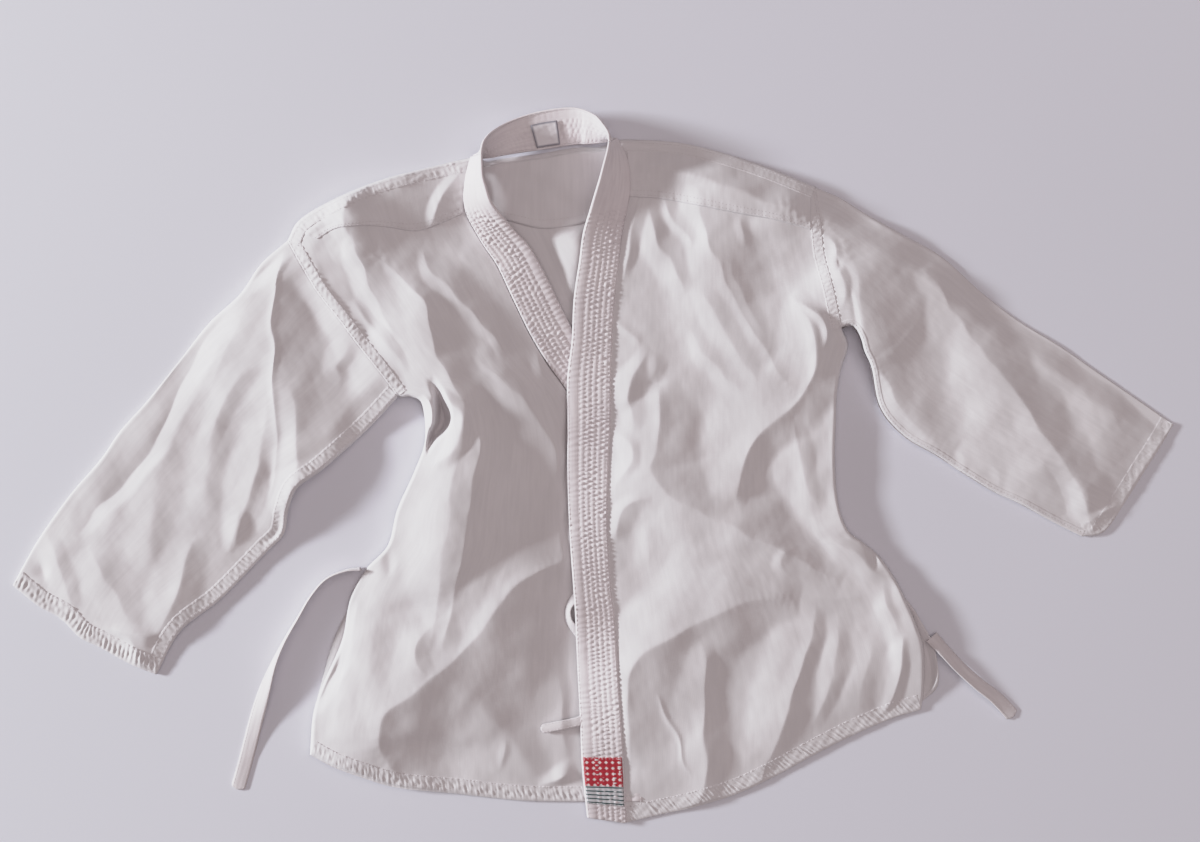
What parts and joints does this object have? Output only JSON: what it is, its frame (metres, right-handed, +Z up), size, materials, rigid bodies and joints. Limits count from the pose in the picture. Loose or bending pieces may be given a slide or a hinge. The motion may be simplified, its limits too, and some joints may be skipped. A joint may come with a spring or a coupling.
{
  "type": "martial arts gi jacket",
  "caption": "White cotton martial arts jacket laid out flat, front up, left front lapped over right, with a quilted collar band, side ties and one front tie.",
  "frame": {"origin": "on the floor, on the back panel's flat underside near the middle of the jacket", "axes": "+Z up from the floor out of the jacket's front, +Y towards the collar, +X towards the wearer's left sleeve"},
  "size_m": [1.1583, 0.7122, 0.0422],
  "materials": {
    "cotton_canvas": "matt plain weave",
    "quilted_canvas": "matt, stitched in rows",
    "cotton_tape": "matt",
    "plain_label": "smooth, unprinted",
    "woven_label": "woven, slight sheen"
  },
  "bodies": {
    "root": {"back_panel": "cotton_canvas", "back_yoke": "cotton_canvas", "front_right": "cotton_canvas", "front_left": "cotton_canvas", "yoke_right": "cotton_canvas", "yoke_left": "cotton_canvas", "sleeve_right": "cotton_canvas", "sleeve_left": "cotton_canvas", "lapel_right": "quilted_canvas", "collar_back": "quilted_canvas", "lapel_left": "quilted_canvas", "tie_side_right": "cotton_tape", "tie_side_left": "cotton_tape", "tie_front": "cotton_tape", "neck_label": "plain_label", "lapel_label": "woven_label"}
  },
  "joints": []
}
